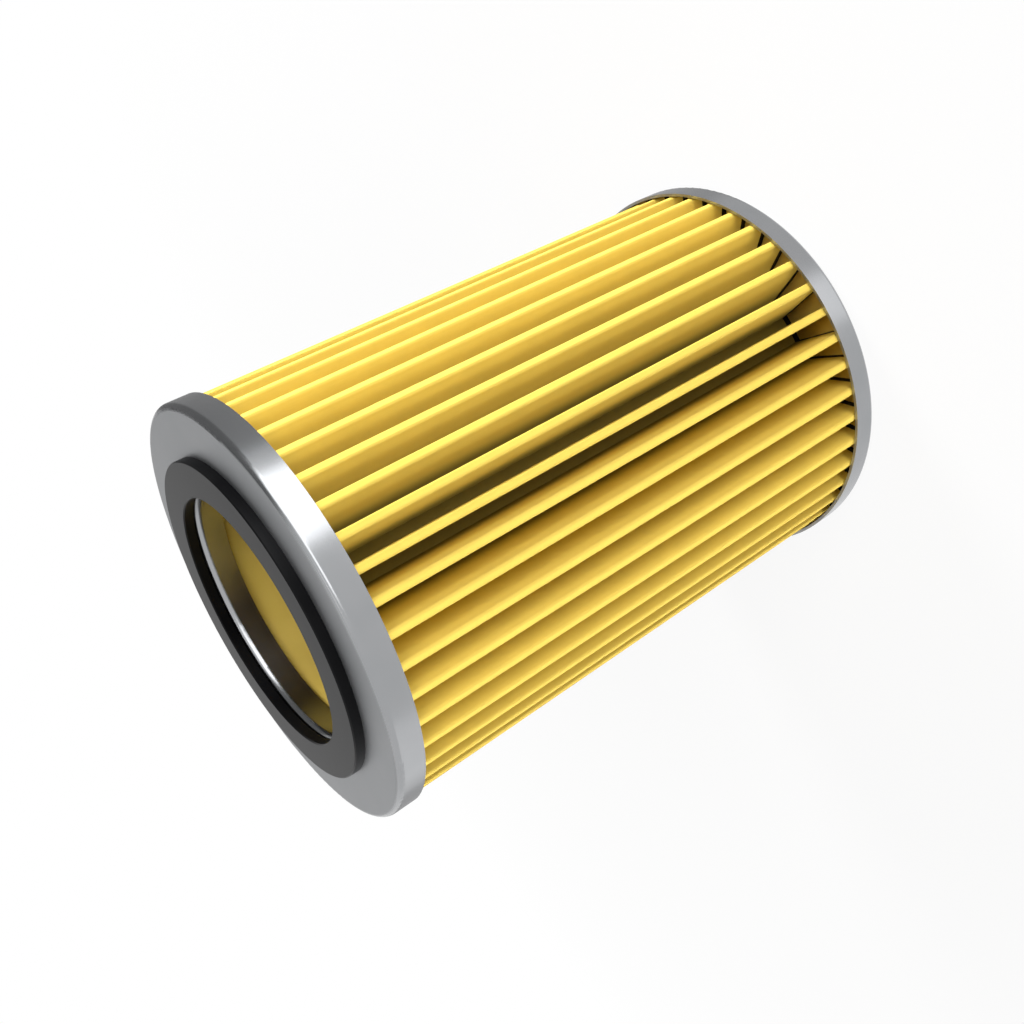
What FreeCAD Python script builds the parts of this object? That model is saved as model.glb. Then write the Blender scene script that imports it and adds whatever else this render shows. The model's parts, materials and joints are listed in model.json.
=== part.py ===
import FreeCAD, Part
import math
import os

# Pleated cartridge filter element. All lengths in millimetres.
# It stands on its closed cap: z = 0 is that cap's outer face, +Z points to the open, gasketed end.

# End caps: pressed steel, one closed cup and one channel with a collar round the opening
cap_radius = 50.0
cap_depth = 6.4            # outer face to the free edge of the skirt
collar_depth = 6.8         # outer face to the free edge of the collar
sheet = 0.7
skirt_bend = 0.75          # inside radius of the bend between face and skirt
collar_bend = 1.15         # inside radius of the bend between face and collar
bore_radius = 29.6
cap_to_cap = 143.5         # outer face to outer face

# Gasket, glued on the open cap's face round the opening
gasket_setback = 0.25      # its inner edge behind the collar's wall
gasket_width = 8.5
gasket_thickness = 2.4
gasket_edge = 0.25         # chamfer on the free edges

# Cured layers between the paper and each cap
adhesive = 0.75            # yellow layer on the cap's floor
adhesive_lap = 1.0         # how far the closed cap's layer spreads inside the centre tube
sealant = 1.7              # black layer on the ends of the folds

# Perforated centre tube
collar_gap = 1.5           # between the open cap's collar and the tube
tube_wall = 0.6
hole_radius = 4.5
holes_round = 8
hole_rows = 6
plain_end = 20.0           # tube without holes at each end

# Folded paper
pleat_count = 45
paper = 0.6
tip_gap = 0.75             # width of the hollow in a fold at its tip
tip_corner = 0.55          # outside radius of the two corners of a fold's flat tip
root_gap = 1.2             # width of the hollow in a fold where it opens at the root
root_clearance = 0.05      # between the paper's inner side and the tube
tip_clearance = 0.4        # between the folds and the caps' skirts
first_pleat = 0.0          # angle of the first fold from +X, degrees
seam_pleat = 11            # the fold in which the two ends of the paper meet

skirt_bend_outer = skirt_bend + sheet
collar_bend_outer = collar_bend + sheet
skirt_inside = cap_radius - sheet
collar_outside = bore_radius + sheet
tube_inner_radius = collar_outside + collar_gap
tube_outer_radius = tube_inner_radius + tube_wall
root_inside = tube_outer_radius + root_clearance
root_radius = root_inside + paper
tip_radius = skirt_inside - tip_clearance
tip_width = tip_gap + 2 * paper
root_width = root_gap + 2 * paper
pitch = 360.0 / pleat_count
rear_adhesive_top = sheet + adhesive
front_adhesive_low = cap_to_cap - sheet - adhesive
paper_low = rear_adhesive_top + sealant
paper_height = front_adhesive_low - sealant - paper_low
axis_point = FreeCAD.Vector(0, 0, 0)
up = FreeCAD.Vector(0, 0, 1)


def save(name, shape):
    if not shape.isValid() or len(shape.Solids) != 1:
        raise RuntimeError("bad solid: " + name)
    shape.Solids[0].exportStep("parts/" + name + ".step")
    print(name, round(shape.Volume, 1))


def point(radius, height):
    return FreeCAD.Vector(radius, 0, height)


def revolved(edges):
    return Part.Face(Part.Wire(edges)).revolve(axis_point, up, 360)


def ring(inner, outer, low, high):
    outside = Part.makeCylinder(outer, high - low, FreeCAD.Vector(0, 0, low))
    return outside.cut(Part.makeCylinder(inner, high - low, FreeCAD.Vector(0, 0, low)))


def quarter(centre_radius, centre_height, radius, start, end):
    # Arc of a bend in the section plane, angles in degrees from the outward direction
    def at(angle):
        turn = math.radians(angle)
        return point(centre_radius + radius * math.cos(turn), centre_height + radius * math.sin(turn))

    return Part.Arc(at(start), at((start + end) / 2), at(end)).toShape()


def line(a, b):
    return Part.LineSegment(a, b).toShape()


# The caps' sections are drawn with the outer face at height 0 and the free edges above it

def closed_cap():
    flat = cap_radius - skirt_bend_outer
    return revolved([
        line(point(0, 0), point(flat, 0)),
        quarter(flat, skirt_bend_outer, skirt_bend_outer, 270, 360),
        line(point(cap_radius, skirt_bend_outer), point(cap_radius, cap_depth)),
        line(point(cap_radius, cap_depth), point(skirt_inside, cap_depth)),
        line(point(skirt_inside, cap_depth), point(skirt_inside, skirt_bend_outer)),
        quarter(flat, skirt_bend_outer, skirt_bend, 360, 270),
        line(point(flat, sheet), point(0, sheet)),
        line(point(0, sheet), point(0, 0)),
    ])


def open_cap():
    flat_outer = cap_radius - skirt_bend_outer
    flat_inner = bore_radius + collar_bend_outer
    return revolved([
        line(point(flat_inner, 0), point(flat_outer, 0)),
        quarter(flat_outer, skirt_bend_outer, skirt_bend_outer, 270, 360),
        line(point(cap_radius, skirt_bend_outer), point(cap_radius, cap_depth)),
        line(point(cap_radius, cap_depth), point(skirt_inside, cap_depth)),
        line(point(skirt_inside, cap_depth), point(skirt_inside, skirt_bend_outer)),
        quarter(flat_outer, skirt_bend_outer, skirt_bend, 360, 270),
        line(point(flat_outer, sheet), point(flat_inner, sheet)),
        quarter(flat_inner, collar_bend_outer, collar_bend, 270, 180),
        line(point(collar_outside, collar_bend_outer), point(collar_outside, collar_depth)),
        line(point(collar_outside, collar_depth), point(bore_radius, collar_depth)),
        line(point(bore_radius, collar_depth), point(bore_radius, collar_bend_outer)),
        quarter(flat_inner, collar_bend_outer, collar_bend_outer, 180, 270),
    ])


def turned_over(shape):
    flipped = shape.copy()
    flipped.rotate(axis_point, FreeCAD.Vector(1, 0, 0), 180)
    flipped.translate(FreeCAD.Vector(0, 0, cap_to_cap))
    return flipped


def gasket():
    low = cap_to_cap
    top = low + gasket_thickness
    inner = bore_radius + gasket_setback
    outer = inner + gasket_width
    corners = [
        point(inner, low),
        point(outer, low),
        point(outer, top - gasket_edge),
        point(outer - gasket_edge, top),
        point(inner + gasket_edge, top),
        point(inner, top - gasket_edge),
        point(inner, low),
    ]
    return revolved(Part.makePolygon(corners).Edges)


# Section of the folded paper. Each fold is drawn pointing along +X and turned to its place.

def side(inset):
    # One side of a fold, this far inside the paper's outer face: a point on it, its direction
    # and the normal that points out of the fold
    foot = FreeCAD.Vector(math.sqrt(root_radius ** 2 - root_width ** 2 / 4), root_width / 2, 0)
    tip = FreeCAD.Vector(tip_radius, tip_width / 2, 0)
    along = (tip - foot).normalize()
    normal = FreeCAD.Vector(-along.y, along.x, 0)
    return tip - normal * inset, along, normal


def side_foot(inset):
    # Where the side meets the root circle
    start, along, normal = side(inset)
    reach = math.sqrt((root_radius - inset) ** 2 - start.dot(normal) ** 2)
    return start + along * (reach - start.dot(along))


def side_at(inset, distance):
    # Where the side crosses the line across the fold at this distance from the axis
    start, along, normal = side(inset)
    return start + along * ((distance - start.x) / along.x)


def mirrored(v):
    return FreeCAD.Vector(v.x, -v.y, 0)


def turned(v, index):
    turn = math.radians(first_pleat + pitch * index)
    x = v.x * math.cos(turn) - v.y * math.sin(turn)
    y = v.x * math.sin(turn) + v.y * math.cos(turn)
    return FreeCAD.Vector(x, y, 0)


def root_arc(foot, index, inset):
    # The stretch of root circle between this fold and the next
    middle = FreeCAD.Vector(root_radius - inset, 0, 0)
    half_way = turned(middle, index + 0.5)
    return Part.Arc(turned(foot, index), half_way, turned(mirrored(foot), index + 1)).toShape()


def outer_fold(index):
    # The paper's outer face: the flat tip has two small rounded corners
    foot = side_foot(0)
    centre = side_at(tip_corner, tip_radius - tip_corner)
    outward = FreeCAD.Vector(1, 0, 0)
    normal = side(0)[2]
    on_side, middle, on_tip = [
        centre + direction * tip_corner for direction in (normal, (normal + outward).normalize(), outward)]
    return [
        line(turned(mirrored(foot), index), turned(mirrored(on_side), index)),
        Part.Arc(*[turned(mirrored(v), index) for v in (on_side, middle, on_tip)]).toShape(),
        line(turned(mirrored(on_tip), index), turned(on_tip, index)),
        Part.Arc(*[turned(v, index) for v in (on_tip, middle, on_side)]).toShape(),
        line(turned(on_side, index), turned(foot, index)),
        root_arc(foot, index, 0),
    ]


def square_fold(index, inset):
    foot = side_foot(inset)
    corner = side_at(inset, tip_radius - inset)
    return [
        line(turned(mirrored(foot), index), turned(mirrored(corner), index)),
        line(turned(mirrored(corner), index), turned(corner, index)),
        line(turned(corner, index), turned(foot, index)),
        root_arc(foot, index, inset),
    ]


def lifted(section, low, height):
    solid = section.extrude(FreeCAD.Vector(0, 0, height))
    solid.translate(FreeCAD.Vector(0, 0, low))
    return solid


def face_of(edges):
    return Part.Face(Part.Wire(Part.__sortEdges__(edges)))


def pleated_paper():
    # One strip, so one closed outline: out along its outer face and back along its inner face.
    # Its two cut ends stand side by side in the seam's fold.
    edges = []
    for inset in (0, paper):
        foot = side_foot(inset)
        end = side_at(inset, tip_radius)
        edges.append(line(turned(end, seam_pleat), turned(foot, seam_pleat)))
        edges.append(root_arc(foot, seam_pleat, inset))
        for index in range(seam_pleat + 1, seam_pleat + pleat_count):
            edges += square_fold(index, inset) if inset else outer_fold(index)
        edges.append(line(turned(mirrored(foot), seam_pleat), turned(mirrored(end), seam_pleat)))
    outer_end = side_at(0, tip_radius)
    inner_end = side_at(paper, tip_radius)
    for v, w in ((outer_end, inner_end), (mirrored(outer_end), mirrored(inner_end))):
        edges.append(line(turned(v, seam_pleat), turned(w, seam_pleat)))
    return lifted(face_of(edges), paper_low, paper_height)


def seam_glue():
    # Fills the fold in which the paper's two ends meet
    foot = side_foot(paper)
    end = side_at(paper, tip_radius)
    corners = [turned(v, seam_pleat) for v in (end, foot, mirrored(foot), mirrored(end), end)]
    return lifted(Part.Face(Part.makePolygon(corners)), paper_low, paper_height)


def end_sealant(low):
    # Closes the hollow folds: the paper's outline, filled, round the centre tube
    edges = []
    for index in range(pleat_count):
        edges += square_fold(index, 0)
    inside = Part.Circle(axis_point, up, root_inside).toShape()
    section = face_of(edges).cut(Part.Face(Part.Wire([inside]))).Faces[0]
    return lifted(section, low, sealant)


def cap_adhesive(cap, inner_radius):
    # Poured into the cap, so it takes the form of the bends beside the floor
    return ring(inner_radius, skirt_inside, sheet, sheet + adhesive).cut(cap)


def centre_tube():
    low = rear_adhesive_top
    high = front_adhesive_low
    tube = ring(tube_inner_radius, tube_outer_radius, low, high)
    first_row = low + plain_end + hole_radius
    row_gap = (high - low - 2 * plain_end - 2 * hole_radius) / (hole_rows - 1)
    drill = tube_outer_radius + tube_wall
    holes = []
    for row in range(hole_rows):
        start = FreeCAD.Vector(0, 0, first_row + row * row_gap)
        for index in range(holes_round):
            hole = Part.makeCylinder(hole_radius, drill, start, FreeCAD.Vector(1, 0, 0))
            hole.rotate(axis_point, up, 360.0 / holes_round * (index + row % 2 / 2))
            holes.append(hole)
    return tube.cut(holes)


os.makedirs("parts", exist_ok=True)
rear_cap = closed_cap()
front_cap = open_cap()
save("rear_end_cap", rear_cap)
save("front_end_cap", turned_over(front_cap))
save("gasket", gasket())
save("rear_adhesive", cap_adhesive(rear_cap, tube_inner_radius - adhesive_lap))
save("front_adhesive", turned_over(cap_adhesive(front_cap, collar_outside)))
save("rear_sealant", end_sealant(rear_adhesive_top))
save("front_sealant", end_sealant(front_adhesive_low - sealant))
save("centre_tube", centre_tube())
save("side_seam_glue", seam_glue())
save("pleated_paper", pleated_paper())
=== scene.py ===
import json
import math

import bpy
from mathutils import Matrix, Vector

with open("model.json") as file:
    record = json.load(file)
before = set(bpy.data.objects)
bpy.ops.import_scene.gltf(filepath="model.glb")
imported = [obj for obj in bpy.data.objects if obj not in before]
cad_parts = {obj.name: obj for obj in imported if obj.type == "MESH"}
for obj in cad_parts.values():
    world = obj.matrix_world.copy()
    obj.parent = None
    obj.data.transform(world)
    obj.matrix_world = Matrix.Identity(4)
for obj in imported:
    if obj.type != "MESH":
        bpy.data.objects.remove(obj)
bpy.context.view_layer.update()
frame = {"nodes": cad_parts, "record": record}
nodes = frame["nodes"]
print("filter element: frame loaded,", len(nodes), "nodes")

mm = 0.001


def hexLinear(code):
    # an sRGB hex colour as the linear RGBA that the shaders take
    channels = [int(code[i:i + 2], 16) / 255 for i in (1, 3, 5)]
    linear = [c / 12.92 if c <= 0.04045 else ((c + 0.055) / 1.055) ** 2.4 for c in channels]
    return (*linear, 1.0)


def addNode(tree, kind, settings=None, inputs=None):
    # one node with its settings; an input given as a socket is linked, anything else is set
    node = tree.nodes.new(kind)
    for name, value in (settings or {}).items():
        setattr(node, name, value)
    for name, value in (inputs or {}).items():
        if isinstance(value, bpy.types.NodeSocket):
            tree.links.new(value, node.inputs[name])
        else:
            node.inputs[name].default_value = value
    return node


def addMath(tree, operation, *values):
    return addNode(tree, "ShaderNodeMath", {"operation": operation}, dict(enumerate(values))).outputs[0]


def addRange(tree, value, reach, results, kind="LINEAR"):
    # the value's reach spread over the results, and held at its ends
    spread = addNode(tree, "ShaderNodeMapRange", {"interpolation_type": kind}, {
        "Value": value,
        "From Min": reach[0], "From Max": reach[1],
        "To Min": results[0], "To Max": results[1]})
    return spread.outputs["Result"]


def addNoise(tree, place, size, detail, roughness=0.5):
    # cloudy noise with cells of about this many millimetres
    noise = addNode(tree, "ShaderNodeTexNoise", None, {
        "Vector": place, "Scale": 1 / (size * mm), "Detail": detail, "Roughness": roughness})
    return noise.outputs["Fac"]


def addBump(tree, height, strength, depth):
    # a relief this many millimetres deep
    bump = addNode(tree, "ShaderNodeBump", None, {
        "Height": height, "Strength": strength, "Distance": depth * mm})
    return bump.outputs["Normal"]


# the part of a noise's range over which one shade turns into the other
shadeReach = (0.35, 0.65)


def shadeBetween(tree, factor, low, high):
    ramp = addNode(tree, "ShaderNodeValToRGB", None, {"Fac": factor})
    for element, position, shade in zip(ramp.color_ramp.elements, shadeReach, (low, high)):
        element.position = position
        element.color = hexLinear(shade)
    return ramp.outputs["Color"]


def startMaterial(name):
    material = bpy.data.materials.new(name)
    material.use_nodes = True
    material.node_tree.nodes.clear()
    return material, material.node_tree


def finishMaterial(tree, inputs):
    shader = addNode(tree, "ShaderNodeBsdfPrincipled", None, inputs)
    addNode(tree, "ShaderNodeOutputMaterial", None, {"Surface": shader.outputs[0]})


def objectPlace(tree):
    # the place on the object, and its parts along the axes
    place = addNode(tree, "ShaderNodeTexCoord").outputs["Object"]
    return place, addNode(tree, "ShaderNodeSeparateXYZ", None, {"Vector": place}).outputs


def distanceFromAxis(tree, parts):
    flat = addNode(tree, "ShaderNodeCombineXYZ", None, {"X": parts["X"], "Y": parts["Y"]})
    radius = addNode(tree, "ShaderNodeVectorMath", {"operation": "LENGTH"}, {0: flat.outputs["Vector"]})
    return radius.outputs["Value"]


# Filter paper: resin-cured cellulose, felted fibres. Matt, an even straw to egg yellow,
# with a faint cloudiness where the fibres lie thicker. It is palest on the creases at the tips and
# darker toward the roots: a choice of look, after the contrast between the photo's tips and valleys.
# Light and shade are painted into its colour: a painted highlight along the creases at the tips, and
# painted shade on the sides, darkest toward the roots, in the valleys between the folds; set to match
# the contrast of bright tips and dark valleys. Real fibres are about 0.03 mm thick. They are drawn
# coarser, since the picture can't hold that.
paper = {
    "thin": "#DBBD54",
    "thick": "#D5B851",
    "folds": 45,
    # the next four values set the painted highlight on the tips and the painted shade on the sides and
    # toward the roots
    "paintedHighlightHalf": (0.15, 0.9),
    "flankPaintedShade": 0.83,
    "rootPaintedShade": 0.27,
    "paintedShadeReach": (34.0, 41.0),
    "cloudSize": 7.0,
    "cloudDetail": 4.0,
    "cloudRoughness": 0.6,
    "fibreLong": 1.6,
    "fibreThick": 0.28,
    "fibreDetail": 2.0,
    "fibreRoughness": 0.55,
    "fibreShare": 0.35,
    "fibreStrength": 0.35,
    "fibreHeight": 0.012,
    "roughness": 0.82,
    "specular": 0.25,
}


def paperPaintedLight(tree, parts):
    # painted light in the paper's colour: a painted highlight full on a fold's tip, painted shade on its
    # sides, deepest at its root
    radius = distanceFromAxis(tree, parts)
    reach = [r * mm for r in paper["paintedShadeReach"]]
    side = addRange(tree, radius, reach, (paper["rootPaintedShade"], paper["flankPaintedShade"]), "SMOOTHSTEP")
    bearing = addMath(tree, "ARCTAN2", parts["Y"], parts["X"])
    halfPitch = math.pi / paper["folds"]
    offset = addMath(tree, "WRAP", bearing, halfPitch, -halfPitch)
    fromMiddle = addMath(tree, "ABSOLUTE", addMath(tree, "MULTIPLY", offset, radius))
    paintedHighlightHalf = [h * mm for h in paper["paintedHighlightHalf"]]
    paintedCreaseHighlight = addRange(tree, fromMiddle, paintedHighlightHalf, (1 - paper["flankPaintedShade"], 0.0), "SMOOTHSTEP")
    return addMath(tree, "ADD", side, paintedCreaseHighlight)


def makePaper():
    material, tree = startMaterial("filterPaperResinCured")
    place, parts = objectPlace(tree)
    clouds = addNoise(tree, place, paper["cloudSize"], paper["cloudDetail"], paper["cloudRoughness"])
    cells = [1 / (size * mm) for size in (paper["fibreThick"], paper["fibreThick"], paper["fibreLong"])]
    laid = addNode(tree, "ShaderNodeMapping", None, {"Vector": place, "Scale": cells})
    fibres = addNode(tree, "ShaderNodeTexNoise", None, {
        "Vector": laid.outputs["Vector"], "Scale": 1.0,
        "Detail": paper["fibreDetail"], "Roughness": paper["fibreRoughness"]}).outputs["Fac"]
    felt = addNode(tree, "ShaderNodeMix", {"data_type": "FLOAT"}, {
        "Factor": paper["fibreShare"], "A": clouds, "B": fibres})
    colour = shadeBetween(tree, felt.outputs["Result"], paper["thick"], paper["thin"])
    # the felt colour scaled by the painted highlight and the painted shade
    paintedLightColour = addNode(tree, "ShaderNodeVectorMath", {"operation": "SCALE"}, {
        0: colour, "Scale": paperPaintedLight(tree, parts)})
    finishMaterial(tree, {
        "Base Color": paintedLightColour.outputs["Vector"],
        "Roughness": paper["roughness"],
        "Specular IOR Level": paper["specular"],
        "Normal": addBump(tree, fibres, paper["fibreStrength"], paper["fibreHeight"])})
    return material


# End caps: tin-plated steel sheet, deep drawn. A satin grey mirror on the skirt, the bend and the
# collar, and duller on the flat faces, where the photo shows no sharp reflection of the gasket. The
# tool leaves faint rings round the axis. Real ones are about 0.2 mm apart and are drawn coarser.
steel = {
    "colour": "#A3A4A6",
    "smear": "#9C9EA0",
    "smearSize": 18.0,
    "smearDetail": 3.0,
    "smearReach": (0.3, 0.7),
    "roughness": (0.22, 0.26),
    "faceRoughness": 0.2,
    "faceReach": (0.9, 0.995),
    "ringSize": 1.5,
    "ringDetail": 3.0,
    "ringRoughness": 0.6,
    "ringStrength": 0.5,
    "ringHeight": 0.0004,
}


def makeSteel():
    material, tree = startMaterial("capSteelTinPlated")
    place, parts = objectPlace(tree)
    radius = distanceFromAxis(tree, parts)
    section = addNode(tree, "ShaderNodeCombineXYZ", None, {"X": radius, "Y": parts["Z"]}).outputs["Vector"]
    rings = addNoise(tree, section, steel["ringSize"], steel["ringDetail"], steel["ringRoughness"])
    smears = addNoise(tree, place, steel["smearSize"], steel["smearDetail"])
    polish = addRange(tree, smears, steel["smearReach"], steel["roughness"])
    surface = addNode(tree, "ShaderNodeNewGeometry")
    tilt = addNode(tree, "ShaderNodeSeparateXYZ", None, {"Vector": surface.outputs["Normal"]})
    level = addMath(tree, "ABSOLUTE", tilt.outputs["Z"])
    satin = addRange(tree, level, steel["faceReach"], (0.0, steel["faceRoughness"]))
    finishMaterial(tree, {
        "Base Color": shadeBetween(tree, smears, steel["smear"], steel["colour"]),
        "Metallic": 1.0,
        "Roughness": addMath(tree, "ADD", polish, satin),
        "Normal": addBump(tree, rings, steel["ringStrength"], steel["ringHeight"])})
    return material


def makeSmooth(name, look):
    # a body colour that shifts a little in clouds, under a fine relief
    material, tree = startMaterial(name)
    place = addNode(tree, "ShaderNodeTexCoord").outputs["Object"]
    clouds = addNoise(tree, place, look["cloudSize"], look["cloudDetail"])
    relief = addNoise(tree, place, look["reliefSize"], look["reliefDetail"])
    finishMaterial(tree, {
        "Base Color": shadeBetween(tree, clouds, look["colour"], look["cloudy"]),
        "Roughness": look["roughness"],
        "Specular IOR Level": look["specular"],
        "Normal": addBump(tree, relief, look["reliefStrength"], look["reliefHeight"])})
    return material


# Gasket: moulded nitrile rubber. Near black with a grey bloom, smooth from the mould, with a dull
# sheen at low angles. The mould's grain is about 0.1 mm and is drawn coarser.
rubber = {
    "colour": "#060607",
    "cloudy": "#0A0A0B",
    "cloudSize": 9.0,
    "cloudDetail": 4.0,
    "reliefSize": 0.4,
    "reliefDetail": 2.0,
    "reliefStrength": 0.4,
    "reliefHeight": 0.004,
    "roughness": 0.34,
    "specular": 0.11,
}

# Cap adhesive: cast amber polyurethane, cured in the cap. Smooth, half gloss, a little cloudy.
adhesive = {
    "colour": "#C9AA50",
    "cloudy": "#D2B45A",
    "cloudSize": 5.0,
    "cloudDetail": 3.0,
    "reliefSize": 5.0,
    "reliefDetail": 3.0,
    "reliefStrength": 0.3,
    "reliefHeight": 0.02,
    "roughness": 0.5,
    "specular": 0.4,
}

# End sealant: black sealing compound run into the ends of the folds. Matt and a little lumpy.
sealant = {
    "colour": "#0A0A0A",
    "cloudy": "#111010",
    "cloudSize": 0.8,
    "cloudDetail": 2.0,
    "reliefSize": 0.8,
    "reliefDetail": 2.0,
    "reliefStrength": 0.4,
    "reliefHeight": 0.03,
    "roughness": 0.7,
    "specular": 0.2,
}

# Centre tube: punched steel under a gold epoxy lacquer. Smooth satin paint that hides the metal,
# with a faint orange peel, and about the paper's colour.
lacquer = {
    "colour": "#D4B858",
    "cloudy": "#DCC060",
    "cloudSize": 12.0,
    "cloudDetail": 3.0,
    "reliefSize": 1.2,
    "reliefDetail": 1.0,
    "reliefStrength": 0.3,
    "reliefHeight": 0.006,
    "roughness": 0.45,
    "specular": 0.15,
}

finishes = {
    "cap_steel": makeSteel(),
    "gasket_rubber": makeSmooth("gasketNitrileRubber", rubber),
    "cap_adhesive": makeSmooth("capAdhesivePolyurethane", adhesive),
    "end_sealant": makeSmooth("endSealantBlack", sealant),
    "tube_lacquer": makeSmooth("tubeGoldEpoxyLacquer", lacquer),
    "filter_paper": makePaper(),
}
for part in frame["record"]["subparts"]:
    piece = nodes[part["node"]]
    for slot in piece.material_slots:
        slot.material = finishes[part["material_slot"]]
print("finishes on")

# The floor is a pale matt sheet that reads white to the eye and still takes the object's shadow.
# Reflections don't see it: they see the white surround and the cards.
ground = {
    "side": 8.0,
    "colour": "#E6E6E6",
    "white": 1.0,
    "whiteShare": (0.92, 1.0),
    "shareReach": (0.15, 0.45),
}


def seenShare(tree):
    # 1 for rays from the eye and for rays in a reflection or through glass, and 0 for soft light
    path = addNode(tree, "ShaderNodeLightPath").outputs
    first = addMath(tree, "MAXIMUM", path["Is Camera Ray"], path["Is Glossy Ray"])
    return addMath(tree, "MAXIMUM", first, path["Is Transmission Ray"])


def makeFloor():
    half = ground["side"] / 2
    mesh = bpy.data.meshes.new("floor")
    corners = [(-half, -half, 0), (half, -half, 0), (half, half, 0), (-half, half, 0)]
    mesh.from_pydata(corners, [], [(0, 1, 2, 3)])
    floor = bpy.data.objects.new("floor", mesh)
    bpy.context.scene.collection.objects.link(floor)
    material, tree = startMaterial("floorPaleMatt")
    place = addNode(tree, "ShaderNodeTexCoord").outputs["Object"]
    away = addNode(tree, "ShaderNodeVectorMath", {"operation": "LENGTH"}, {0: place}).outputs["Value"]
    whiteness = addRange(tree, away, ground["shareReach"], ground["whiteShare"])
    share = addMath(tree, "MULTIPLY", seenShare(tree), whiteness)
    matt = addNode(tree, "ShaderNodeBsdfDiffuse", None, {"Color": hexLinear(ground["colour"])})
    white = addNode(tree, "ShaderNodeEmission", None, {"Strength": ground["white"]})
    mixed = addNode(tree, "ShaderNodeMixShader", None, {0: share, 1: matt.outputs[0], 2: white.outputs[0]})
    addNode(tree, "ShaderNodeOutputMaterial", None, {"Surface": mixed.outputs[0]})
    mesh.materials.append(material)
    floor.visible_glossy = False


makeFloor()

# Cards that only reflections see, each a piece of a cylinder round the object: white ones that put
# the long highlights on the steel, and grey and dark ones between them. The foot cards hang below
# the floor, for the lower skirt. Bearings in degrees, the rest in metres.
cardReach = 0.40
cardStep = 5
cards = {
    "whiteCard": {"bearings": (-68, -30), "heights": (0.0, 0.3), "glow": 4.2},
    "highWhiteCard": {"bearings": (-95, -30), "heights": (0.3, 0.5), "glow": 3.2},
    "topWhiteCard": {"bearings": (-125, -65), "reach": 0.25, "heights": (0.75, 1.1), "glow": 2.1},
    "lowGreyCard": {"bearings": (-16, 67), "heights": (0.0, 0.1), "glow": 0.34},
    "darkCard": {"bearings": (-26, 65), "heights": (0.1, 1.1), "glow": 0.22},
    "middleGreyCard": {"bearings": (65, 130), "heights": (0.18, 0.28), "glow": 0.86},
    "upperGreyCard": {"bearings": (65, 130), "heights": (0.28, 0.5), "glow": 0.62},
    "backGreyCard": {"bearings": (118, 146), "heights": (0.0, 0.1), "glow": 0.5},
    "sideWhiteCard": {"bearings": (156, 200), "heights": (0.0, 0.12), "glow": 1.3},
    "footWhiteCard": {"bearings": (-98, -68), "heights": (-0.6, -0.05), "glow": 1.65},
    "footGreyCard": {"bearings": (-64, 10), "heights": (-0.6, -0.05), "glow": 0.82},
    "footDarkCard": {"bearings": (10, 64), "heights": (-0.6, -0.05), "glow": 0.55},
}


def makeCard(name, card):
    first, last = card["bearings"]
    reach = card.get("reach", cardReach)
    columns = round((last - first) / cardStep)
    corners = []
    for column in range(columns + 1):
        bearing = math.radians(first + (last - first) * column / columns)
        for height in card["heights"]:
            corners.append((reach * math.cos(bearing), reach * math.sin(bearing), height))
    panes = [(2 * c, 2 * c + 2, 2 * c + 3, 2 * c + 1) for c in range(columns)]
    mesh = bpy.data.meshes.new(name)
    mesh.from_pydata(corners, [], panes)
    material, tree = startMaterial(name + "Paint")
    glow = addNode(tree, "ShaderNodeEmission", None, {"Strength": card["glow"]})
    addNode(tree, "ShaderNodeOutputMaterial", None, {"Surface": glow.outputs[0]})
    mesh.materials.append(material)
    piece = bpy.data.objects.new(name, mesh)
    bpy.context.scene.collection.objects.link(piece)
    piece.visible_camera = False
    piece.visible_diffuse = False
    piece.visible_shadow = False


for name, card in cards.items():
    makeCard(name, card)

# The surround is white to the eye and in reflections, and lights the object only faintly.
surround = {"colour": "#FFFFFF", "soft": 0.02, "seen": 1.0}


def makeWorld():
    world = bpy.data.worlds.new("studio")
    bpy.context.scene.world = world
    world.use_nodes = True
    tree = world.node_tree
    tree.nodes.clear()
    colour = hexLinear(surround["colour"])
    soft = addNode(tree, "ShaderNodeBackground", None, {"Color": colour, "Strength": surround["soft"]})
    seen = addNode(tree, "ShaderNodeBackground", None, {"Color": colour, "Strength": surround["seen"]})
    mixed = addNode(tree, "ShaderNodeMixShader", None, {
        0: seenShare(tree), 1: soft.outputs[0], 2: seen.outputs[0]})
    addNode(tree, "ShaderNodeOutputWorld", None, {"Surface": mixed.outputs[0]})


makeWorld()

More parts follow.
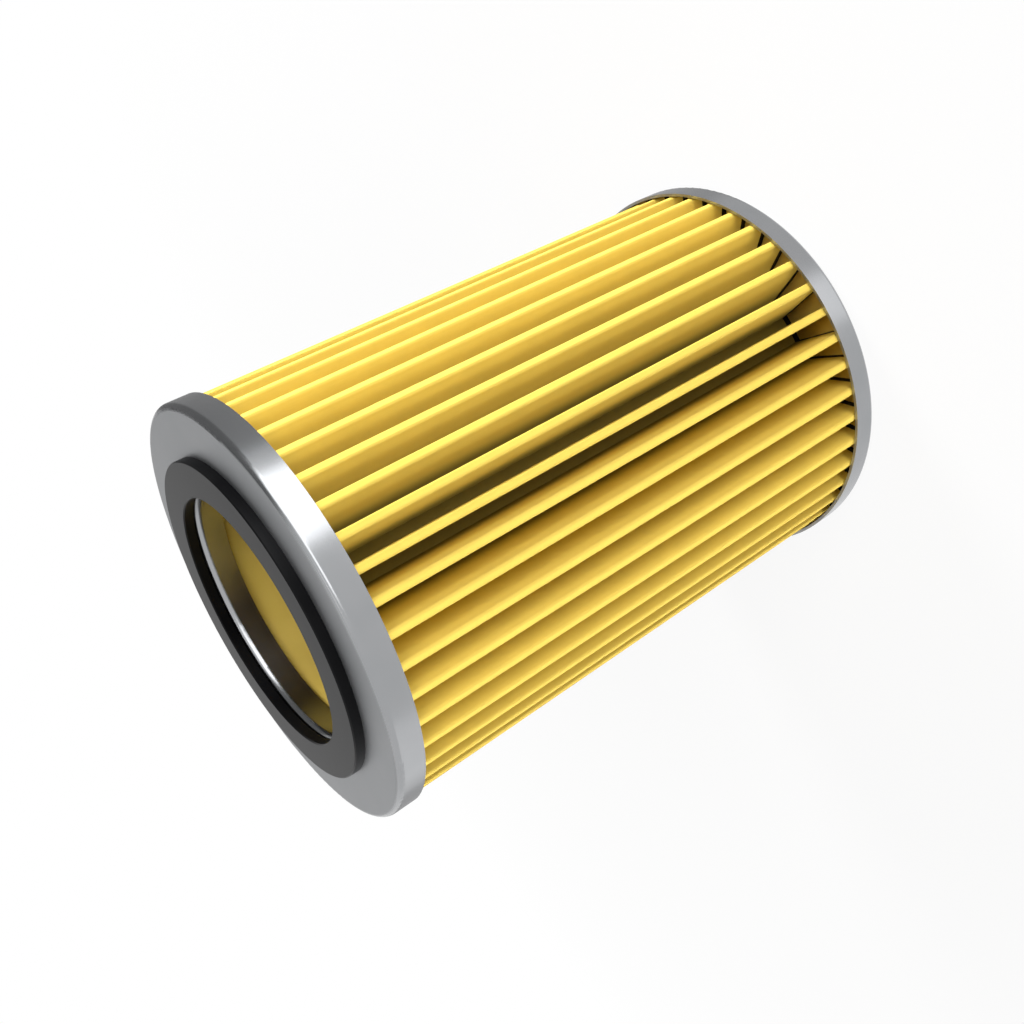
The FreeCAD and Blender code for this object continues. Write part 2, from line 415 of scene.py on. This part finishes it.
# Soft boxes: bearing and height in degrees, seen from the point they aim at, distance and sides in
# metres, power in watts. They aim at the middle of the object. The fill light stands for the light
# that a bright room throws between the folds: it casts no shadow and lights only the paper. The
# bore light reaches down the opening and lights only the centre tube.
aim = Vector((0, 0, 75 * mm))
boxDistance = 1.0
softBoxes = {
    "rightSoftBox": {"bearing": 5, "height": 4, "sides": (0.3, 0.4), "power": 18},
    "highRightSoftBox": {"bearing": 5, "height": 22, "sides": (0.2, 0.2), "power": 5.0},
    "bowSoftBox": {"bearing": -60, "height": 40, "sides": (0.5, 0.5), "power": 4.0},
    "frontSoftBox": {"bearing": -55, "height": 4, "sides": (0.3, 0.4), "power": 3.9},
    "middleSoftBox": {"bearing": -75, "height": 4, "sides": (0.3, 0.4), "power": 3.2},
    "lowSoftBox": {"bearing": -115, "height": 4, "sides": (0.3, 0.4), "power": 3.8},
    "sideSoftBox": {"bearing": -175, "height": 4, "sides": (0.3, 0.4), "power": 5.8},
    "fillLight": {
        "bearing": -170, "height": 20, "sides": (0.3, 0.4), "power": 5.0,
        "shadow": False, "only": "pleated_paper"},
    "boreLight": {
        "bearing": -85, "height": 22, "sides": (0.2, 0.2), "power": 2.3,
        "only": "centre_tube"},
}


def makeSoftBox(name, box):
    lamp = bpy.data.lights.new(name, "AREA")
    lamp.shape = "RECTANGLE"
    lamp.size, lamp.size_y = box["sides"]
    lamp.energy = box["power"]
    lamp.use_shadow = box.get("shadow", True)
    holder = bpy.data.objects.new(name, lamp)
    bearing = math.radians(box["bearing"])
    height = math.radians(box["height"])
    level = math.cos(height)
    outward = Vector((math.cos(bearing) * level, math.sin(bearing) * level, math.sin(height)))
    holder.location = aim + outward * boxDistance
    holder.rotation_euler = outward.to_track_quat("Z", "Y").to_euler()
    holder.visible_camera = False
    holder.visible_glossy = False
    if "only" in box:
        lit = bpy.data.collections.new(name + "Lit")
        lit.objects.link(nodes[box["only"]])
        holder.light_linking.receiver_collection = lit
    bpy.context.scene.collection.objects.link(holder)


for name, box in softBoxes.items():
    makeSoftBox(name, box)
print("floor, cards and lamps in place")

# The eye looks a little down on the standing element and is rolled, so that the element lies
# across the picture with its open end low at the left. Its place and lens are in millimetres.
eye = {
    "lens": 38.66,
    "filmWidth": 36.0,
    "nearest": 10.0,
    "place": (10.326, -237.383, 201.078),
    "right": (-0.464864, -0.432710, -0.772441),
    "up": (0.883174, -0.164939, -0.439098),
    "back": (0.062601, -0.886310, 0.458832),
}


def makeCamera():
    camera = bpy.data.cameras.new("photoView")
    camera.sensor_fit = "HORIZONTAL"
    camera.sensor_width = eye["filmWidth"]
    camera.lens = eye["lens"]
    camera.clip_start = eye["nearest"] * mm
    holder = bpy.data.objects.new("photoView", camera)
    turn = Matrix([eye["right"], eye["up"], eye["back"]]).transposed()
    holder.matrix_world = Matrix.Translation(Vector(eye["place"]) * mm) @ turn.to_4x4()
    bpy.context.scene.collection.objects.link(holder)
    bpy.context.scene.camera = holder


makeCamera()
bpy.context.scene.view_settings.view_transform = "Standard"
print("camera set")
